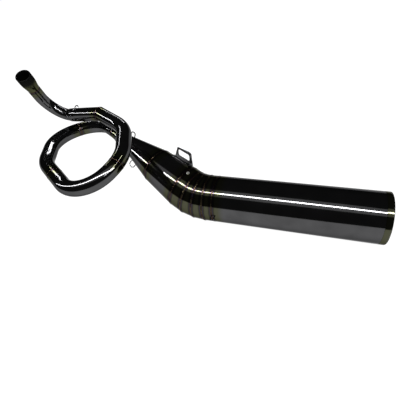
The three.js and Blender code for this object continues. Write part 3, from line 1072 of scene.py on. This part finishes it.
class EXHAUST_OT_megaphone(bpy.types.Operator):
    """Adds the megaphone's socket, its two cones and the four slices of its bend"""

    bl_idname = "exhaust.megaphone"
    bl_label = "Megaphone"

    def execute(self, context):
        can = sizes().can_radius
        inner = sizes().loop_radius + SLIP_CLEARANCE
        outer = inner + SOCKET_WALL
        found = seams()
        welds = megaphone_welds()
        mouth = (found[-1].point, slip_heading_b())
        pieces = (
            ("slice_4", "bend_segment_4"), ("slice_3", "bend_segment_3"), ("slice_2", "bend_segment_2"),
            ("slice_1", "bend_segment_1"), ("second_cone", "front_cone"), ("first_cone", "inlet_cone"),
        )
        radii = [can] * (PIE_CUTS + 1) + [CONE_SEAM_RADIUS, outer]
        planes = welds + [mouth]
        for i, (name, node) in enumerate(pieces):
            start, end = found[i + 1].point, found[i].point
            upstream, downstream = planes[i + 1], planes[i]
            bounds = [(upstream[0], -upstream[1]), downstream]
            piece = cone_between(name, start, end, (radii[i + 1], radii[i]), bounds, sizes().wall)
            mark_heat(piece, welds[max(i - 1, 0):i + 3])
            if i < PIE_CUTS:
                settle(piece, "silencer", "tinted", "heat_tinted_steel", node)
            else:
                settle(piece, "silencer", "dark", "dark_polished_steel", node)
        socket = slip_socket("megaphone_socket", slip_mouth_b(), slip_heading_b(), inner, outer, 0.9)
        mark_heat(socket, [mouth])
        settle(socket, "silencer", "dark", "dark_polished_steel", "silencer_inlet_socket")
        return {"FINISHED"}


# ---- Can ----------------------------------------------------------------------------------


class EXHAUST_OT_can(bpy.types.Operator):
    """Adds the can, its tail ring, its end disc and the core tube"""

    bl_idname = "exhaust.can"
    bl_label = "Silencer Can"

    def execute(self, context):
        can = sizes().can_radius
        inner = can - sizes().wall
        along = ALONG_CAN
        start = place((0, 0, 0))
        outline = [(0, inner), (0, can)] + [(RING_STEP * i, can) for i in range(1, 15)]
        outline += [(CAN_SHELL_LENGTH, can), (CAN_SHELL_LENGTH, inner)]
        shell = turned("can_tube", start, along, outline, CAN_SEGMENTS, 0.2)
        tail_seam = (start + along * CAN_SHELL_LENGTH * MM, along)
        mark_heat(shell, [megaphone_welds()[0]])
        settle(shell, "silencer", "dark", "dark_polished_steel", "can_shell")

        end = TAIL_RING_LENGTH
        ring_start = tail_seam[0] + along * 0.02 * MM
        outline = [(0, inner), (0, can), (3, can), (6, can), (9, can)]
        corner = 2.2
        for step in range(7):
            turn = math.pi / 2 * step / 6
            outline.append((
                end - 0.6 - corner + corner * math.sin(turn),
                can - corner + corner * math.cos(turn)))
        outline += [(end - 0.6, inner - 3), (end - 1.4, inner - 4), (end - 3, inner - 4), (end - 4, inner)]
        band = turned("tail_band", ring_start, along, outline, CAN_SEGMENTS, 0.15)
        mark_heat(band, [(ring_start - along * TAIL_TINT_OFFSET * MM, along)])
        settle(band, "silencer", "tinted", "heat_tinted_steel", "tail_ring")

        disc_at = CAN_SHELL_LENGTH - END_DISC_FROM_RING
        hole = CORE_RADIUS + 0.3
        rim = inner - 0.3
        thick = DISC_THICKNESS
        outline = [(0, hole + 1), (0, rim), (thick, rim), (thick, rim - 3), (thick + 1.6, rim - 7),
                   (thick + 1.6, hole + 9), (thick, hole + 5), (thick + 0.2, hole), (0.4, hole)]
        disc = turned("end_disc", start + along * disc_at * MM, along, outline, CAN_SEGMENTS, 0.4)
        settle(disc, "silencer", "inner", "inner_steel", "core_end_disc")

        low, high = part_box("perforated_core")
        length = (high.x - low.x) / MM
        bore = CORE_RADIUS - CORE_WALL
        outline = [(0, bore), (0, CORE_RADIUS), (length - 2, CORE_RADIUS), (length - 0.3, CORE_RADIUS + 0.6),
                   (length, CORE_RADIUS), (length, bore + 0.5), (length - 1, bore)]
        core = turned("core_tube", Vector((low.x, start.y, start.z)), along, outline, TURNED_SEGMENTS, 0.1)
        settle(core, "silencer", "core", "inner_steel", "perforated_core")
        return {"FINISHED"}


# ---- Hanger, plug and hooks ---------------------------------------------------------------


def standing_axes(angle, around):
    """Axes of a part that stands on the bend: X along it, Y outwards, and all turned round X."""
    axis = bend_heading(angle)
    outward = in_bend_plane(math.sin(angle), math.cos(angle))
    basis = Matrix((axis, outward, axis.cross(outward))).transposed()
    return basis @ Matrix.Rotation(around, 3, "X")


def hanger_frame():
    """Matrix of the hanger's own axes: X downstream along the cone, Y up from it, Z to the near side."""
    found = seams()
    angle = found[PIE_CUTS + 1].angle
    can = sizes().can_radius
    slope = math.atan2(can - CONE_SEAM_RADIUS, BEND_PIECES[PIE_CUTS][0])
    turn = standing_axes(angle, HANGER_AROUND)
    base = found[PIE_CUTS].point + turn @ Vector((0, (can + 1) * MM, 0))
    lean = turn @ Matrix.Rotation(slope, 3, "Z")
    return Matrix.Translation(base) @ lean.to_4x4()


def corner_plate(corners, depth):
    """A flat plate with rounded corners, in the hanger's own axes, open for editing."""
    deselect_all()
    bpy.ops.mesh.primitive_plane_add(size=2 * MM, location=(0, 0, 0))
    plate = bpy.context.active_object
    signs = [(1, -1), (1, 1), (-1, 1), (-1, -1)]
    for (along, height), (side, level) in zip(corners, signs):
        bpy.ops.object.mode_set(mode="OBJECT")
        here = Vector((side * MM, level * MM, 0))
        for vertex in plate.data.vertices:
            vertex.select = (vertex.co - here).length < SAME_PLACE
        for part in list(plate.data.edges) + list(plate.data.polygons):
            part.select = False
        bpy.ops.object.mode_set(mode="EDIT")
        bpy.ops.mesh.select_mode(type="VERT")
        target = Vector((-along * MM, height * MM, 0))
        bpy.ops.transform.translate(value=target - here)
    bpy.ops.mesh.select_all(action="SELECT")
    bpy.ops.mesh.bevel(offset=HANGER_CORNER * MM, segments=7, affect="VERTICES")
    bpy.ops.mesh.select_all(action="SELECT")
    bpy.ops.mesh.extrude_region_move(TRANSFORM_OT_translate={"value": (0, 0, depth * MM)})
    bpy.ops.mesh.select_all(action="SELECT")
    bpy.ops.transform.translate(value=(0, HANGER_LIFT * MM, -depth / 2 * MM))
    bpy.ops.mesh.normals_make_consistent(inside=False)
    bpy.ops.object.mode_set(mode="OBJECT")
    return plate


class EXHAUST_OT_hanger(bpy.types.Operator):
    """Adds the slotted hanger plate with its curved foot"""

    bl_idname = "exhaust.hanger"
    bl_label = "Hanger"

    def execute(self, context):
        own = hanger_frame()
        plate = corner_plate(HANGER_OUTLINE, HANGER_PLATE)
        slot = corner_plate(HANGER_SLOT, HANGER_PLATE * 3)
        finish_with(plate, "BOOLEAN", operation="DIFFERENCE", object=slot, solver="EXACT")
        bpy.data.objects.remove(slot)
        plate.matrix_world = own
        pick(plate)
        bpy.ops.object.transform_apply(location=True, rotation=True, scale=True)
        soften(plate, HANGER_EDGE, 3)

        found = seams()
        can = sizes().can_radius
        length = BEND_PIECES[PIE_CUTS][0]
        heading = direction(found[PIE_CUTS + 1].point, found[PIE_CUTS].point)
        slope = (can - CONE_SEAM_RADIUS) / length
        downstream, upstream = HANGER_OUTLINE[0][0], HANGER_OUTLINE[-1][0]
        clearance = 0.4
        start = found[PIE_CUTS].point - heading * upstream * MM
        end = found[PIE_CUTS].point - heading * downstream * MM
        radii = (can - upstream * slope + clearance, can - downstream * slope + clearance)
        turn = own.to_3x3()
        side = turn @ Vector((0, 0, 1))
        far_side = Matrix.Rotation(HANGER_FOOT_ARC, 3, heading) @ side
        ring(start, heading, radii[0] * MM, CAN_SEGMENTS * 2)
        extrude_ring(heading * (upstream - downstream) * MM, radii[1] / radii[0], end)
        cut(found[PIE_CUTS].point - side * HANGER_PLATE / 2 * MM, -side)
        cut(found[PIE_CUTS].point, far_side)
        foot = close_up("hanger_foot", outwards=False)
        face_outwards(foot, found[PIE_CUTS].point, heading)
        finish_with(foot, "SOLIDIFY", thickness=HANGER_FOOT * MM, offset=1, use_even_offset=True)
        soften(foot, HANGER_EDGE, 3)
        pick(plate, foot)
        bpy.ops.object.join()
        hanger = bpy.context.active_object
        hanger.name = "hanger"
        mark_heat(hanger, [])
        settle(hanger, "silencer", "dark", "dark_polished_steel", "hanger_bracket")
        return {"FINISHED"}


def face_outwards(piece, centre, heading):
    """Turns a sheet's faces away from an axis."""
    face = piece.data.polygons[0]
    offset = face.center - centre
    outward = offset - heading * offset.dot(heading)
    if face.normal.dot(outward) < 0:
        piece.data.flip_normals()


class EXHAUST_OT_plug(bpy.types.Operator):
    """Adds the small gas sampling plug on the bend"""

    bl_idname = "exhaust.plug"
    bl_label = "Sampling Plug"

    def execute(self, context):
        found = seams()
        angle = found[PIE_CUTS + 1].angle
        up = standing_axes(angle, PLUG_AROUND) @ Vector((0, 1, 0))
        seam = found[PIE_CUTS].point
        foot = seam + bend_heading(angle) * PLUG_FROM_SEAM * MM + up * (sizes().can_radius - PLUG_SINK) * MM
        outline = [(0, 0.05), (0, 4.6), (0.7, 4.2), (1.2, 3.6), (3.2, 3.5), (3.9, 2.9), (4.1, 2.0),
                   (3.4, 1.8), (3.3, 0.05)]
        plug = turned("plug", foot, up, outline, PLUG_SEGMENTS, 0.15)
        settle(plug, "silencer", "plug", "plain_steel_wire", "sampling_plug")
        return {"FINISHED"}


class EXHAUST_OT_hooks(bpy.types.Operator):
    """Adds the wire hooks that the springs hang on"""

    bl_idname = "exhaust.hooks"
    bl_label = "Spring Hooks"

    def execute(self, context):
        header = sizes().header_radius + HOOK_GAP
        loop = sizes().loop_radius + HOOK_GAP
        socket = sizes().loop_radius + SLIP_CLEARANCE + SOCKET_WALL
        first_cone = BEND_PIECES[-1][0]
        flare = (CONE_SEAM_RADIUS - socket) / first_cone
        slope = math.atan(flare)
        cone = socket + HOOK_GAP
        can = sizes().can_radius + HOOK_GAP
        joint_a = (slip_mouth_a(), slip_heading_a())
        joint_b = (slip_mouth_b(), slip_heading_b())
        mouth = (seams()[-1].point, slip_heading_b())
        can_seam = (place((0, 0, 0)), ALONG_CAN)
        # Hooks given the darkened wire wear a copy of the same steel wire with painted shade; the others wear
        # the plain wire steel.
        hooks = (
            ("header_hook_near", "header", joint_a, -11, header + 1.7, 46, (16, 12), -0.12, "shaded_wire"),
            ("header_hook_far", "header", joint_a, -11, header, 280, (16, 12), 0, "shaded_wire"),
            ("loop_inlet_hook_near", "loop", joint_a, 13, loop, 72, (20, 12), 0, "shaded_wire"),
            ("loop_inlet_hook_far", "loop", joint_a, 13, loop, 306, (20, 12), 0, "wire"),
            ("loop_outlet_hook_upper", "loop", joint_b, -12, loop, 336, (18, 12), 0, "wire"),
            ("loop_outlet_hook_lower", "loop", joint_b, -12, loop, 170, (18, 12), 0, "wire"),
            ("cone_hook_upper", "silencer", mouth, 12, cone + 12 * flare, 330, (20, 16), slope, "shaded_wire"),
            ("cone_hook_lower", "silencer", mouth, 54, cone + 54 * flare, 135, (25, 21), slope, "wire"),
            ("can_hook", "silencer", can_seam, 2, can, 96, (14, 11), 0, "shaded_wire"),
        )
        for node, body, (point, heading), along, foot, around, size, lean, metal in hooks:
            piece = wire_hook(
                node + "_wire", point + heading * along * MM, heading, foot, math.radians(around), size, lean)
            settle(piece, body, metal, "plain_steel_wire", node)
        return {"FINISHED"}


class EXHAUST_OT_welds(bpy.types.Operator):
    """Adds the weld beads"""

    bl_idname = "exhaust.welds"
    bl_label = "Weld Beads"

    def execute(self, context):
        heavy = sizes().bead
        light = heavy * LIGHT_BEAD
        ripples = sizes().ripples
        can = sizes().can_radius
        megaphone = megaphone_welds()
        heights = (light, heavy, heavy, heavy, light, light)
        radii = (can, can, can, can, can, CONE_SEAM_RADIUS)
        for i, ((point, normal), height, radius) in enumerate(zip(megaphone, heights, radii)):
            bead = weld_bead(f"seam_bead_{i + 1}", point, normal, radius, height, ripples)
            settle(bead, "silencer", "weld", "heat_tinted_steel")
        for i, (point, normal) in enumerate(loop_welds()):
            bead = weld_bead(f"loop_bead_{i + 1}", point, normal, sizes().loop_radius, light, ripples // 2)
            settle(bead, "loop", "weld", "heat_tinted_steel")
        return {"FINISHED"}


class EXHAUST_OT_inside(bpy.types.Operator):
    """Gives the can's hidden parts their finishes"""

    bl_idname = "exhaust.inside"
    bl_label = "Inside of the Can"

    def execute(self, context):
        for node, finish_name in (("core_front_disc", "inner"), ("packing_wool", "wool")):
            coat(frame["nodes"][node], finish_name)
        return {"FINISHED"}


# ---- Stage --------------------------------------------------------------------------------


def area_light(name, location, target, power, width, length, along):
    """A soft rectangular light whose long side lies along a direction."""
    bpy.ops.object.light_add(type="AREA", location=location)
    light = bpy.context.active_object
    light.name = name
    light.data.shape = "RECTANGLE"
    light.data.size = length
    light.data.size_y = width
    light.data.energy = power
    back = (location - target).normalized()
    side = (along - back * along.dot(back)).normalized()
    light.rotation_euler = Matrix((side, back.cross(side), back)).transposed().to_euler()
    return light


# Name, direction from the loop, direction of the long side, and length in metres.
LOOP_STRIPS = (
    ("loop_strip_back", (-0.44, 0.73, 0.48), (0.61, 0.51, -0.21), 1.5),
    ("loop_strip_left", (0.75, -0.05, 0.66), (0.6, -0.75, 0.5), 1.6),
)


class EXHAUST_OT_stage(bpy.types.Operator):
    """Adds the pale floor, the lights and the camera"""

    bl_idname = "exhaust.stage"
    bl_label = "Studio"

    def execute(self, context):
        studio = context.scene.exhaust_studio
        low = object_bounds()[0]
        deselect_all()
        bpy.ops.mesh.primitive_grid_add(
            x_subdivisions=2, y_subdivisions=2, size=FLOOR_SIZE,
            location=(FLOOR_MIDDLE, 0, low[2] - FLOOR_GAP))
        bpy.ops.object.transform_apply(location=True)
        floor = bpy.context.active_object
        floor.name = "floor"
        paper, tree, shader = new_material("studio_paper")
        shader.inputs["Base Color"].default_value = (0.1, 0.1, 0.1, 1)
        shader.inputs["Roughness"].default_value = 0.9
        shader.inputs["Specular IOR Level"].default_value = 0.0
        shader.inputs["Emission Color"].default_value = (1, 1, 1, 1)
        shader.inputs["Emission Strength"].default_value = studio.floor_glow
        floor.data.materials.append(paper)
        floor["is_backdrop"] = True

        can_middle = place((200, 0, 0))
        strip_middle = can_middle + OVER_CAN * STRIP_DISTANCE - ALONG_CAN * STRIP_UPSTREAM
        area_light("strip_light", strip_middle, strip_middle - OVER_CAN, studio.strip, *STRIP_SIZE, ALONG_CAN)
        loop_middle = place((-370, -20, 145))
        tubes = bpy.data.collections.new("tubes_under_strips")
        for piece in bpy.data.objects:
            if piece.name.startswith(("collar", "header_", "loop_")):
                tubes.objects.link(piece)
        for name, aim, along, length in LOOP_STRIPS:
            toward = Vector(aim).normalized()
            spot = loop_middle + toward * STRIP_DISTANCE
            power = studio.loop_strip * length
            light = area_light(name, spot, loop_middle, power, LOOP_STRIP_WIDTH, length, Vector(along))
            light.light_linking.receiver_collection = tubes
        halo_middle = can_middle + OVER_CAN * HALO_DISTANCE
        area_light("halo_light", halo_middle, can_middle, studio.halo, *HALO_SIZE, ALONG_CAN)

        world = bpy.data.worlds.new("studio_air") if not context.scene.world else context.scene.world
        context.scene.world = world
        world.use_nodes = True
        air = world.node_tree
        air.nodes.clear()
        output = add_node(air, "ShaderNodeOutputWorld")
        path = add_node(air, "ShaderNodeLightPath")
        choose = add_node(air, "ShaderNodeMixShader")
        air.links.new(path.outputs["Is Camera Ray"], choose.inputs["Fac"])
        for i, strength in ((1, AIR_GLOW), (2, 1.0)):
            background = add_node(air, "ShaderNodeBackground")
            background.inputs["Color"].default_value = (1, 1, 1, 1)
            background.inputs["Strength"].default_value = strength
            air.links.new(background.outputs[0], choose.inputs[i])
        air.links.new(choose.outputs[0], output.inputs["Surface"])

        forward = CAMERA_FORWARD.normalized()
        right = (CAMERA_RIGHT - forward * CAMERA_RIGHT.dot(forward)).normalized()
        up = right.cross(forward)
        bpy.ops.object.camera_add(location=place(CAMERA_AT))
        camera = bpy.context.active_object
        camera.rotation_euler = Matrix((right, up, -forward)).transposed().to_euler()
        camera.data.sensor_width = CAMERA_SENSOR
        camera.data.lens = CAMERA_LENS
        camera.data.clip_start = 0.02
        context.scene.camera = camera
        context.scene.view_settings.view_transform = "Standard"
        context.scene.view_settings.look = "None"
        return {"FINISHED"}


class EXHAUST_PT_panel(bpy.types.Panel):
    """Lists the pieces of the exhaust"""

    bl_label = "Exhaust"
    bl_space_type = "VIEW_3D"
    bl_region_type = "UI"
    bl_category = "Exhaust"

    def draw(self, context):
        layout = self.layout
        for group_name, kind in GROUPS:
            box = layout.box()
            for name in kind.__annotations__:
                box.prop(getattr(context.scene, group_name), name)
        for operator in OPERATORS:
            layout.operator(operator.bl_idname)


OPERATORS = (
    EXHAUST_OT_collar,
    EXHAUST_OT_header,
    EXHAUST_OT_loop_inlet,
    EXHAUST_OT_loop_bends,
    EXHAUST_OT_megaphone,
    EXHAUST_OT_can,
    EXHAUST_OT_hanger,
    EXHAUST_OT_plug,
    EXHAUST_OT_hooks,
    EXHAUST_OT_welds,
    EXHAUST_OT_inside,
    EXHAUST_OT_stage,
)
GROUPS = (
    ("exhaust_sizes", ExhaustSizes),
    ("exhaust_finish", ExhaustFinish),
    ("exhaust_studio", ExhaustStudio),
)


def register():
    for name, group in GROUPS:
        bpy.utils.register_class(group)
        setattr(bpy.types.Scene, name, PointerProperty(type=group))
    for operator in OPERATORS:
        bpy.utils.register_class(operator)
    bpy.utils.register_class(EXHAUST_PT_panel)


def unregister():
    bpy.utils.unregister_class(EXHAUST_PT_panel)
    for operator in reversed(OPERATORS):
        bpy.utils.unregister_class(operator)
    for name, group in reversed(GROUPS):
        delattr(bpy.types.Scene, name)
        bpy.utils.unregister_class(group)


def main():
    register()
    bpy.ops.exhaust.collar()
    bpy.ops.exhaust.header()
    bpy.ops.exhaust.loop_inlet()
    bpy.ops.exhaust.loop_bends()
    bpy.ops.exhaust.megaphone()
    bpy.ops.exhaust.can()
    bpy.ops.exhaust.hanger()
    bpy.ops.exhaust.plug()
    bpy.ops.exhaust.hooks()
    bpy.ops.exhaust.welds()
    bpy.ops.exhaust.inside()
    bpy.ops.exhaust.stage()


if __name__ == "__main__":
    main()
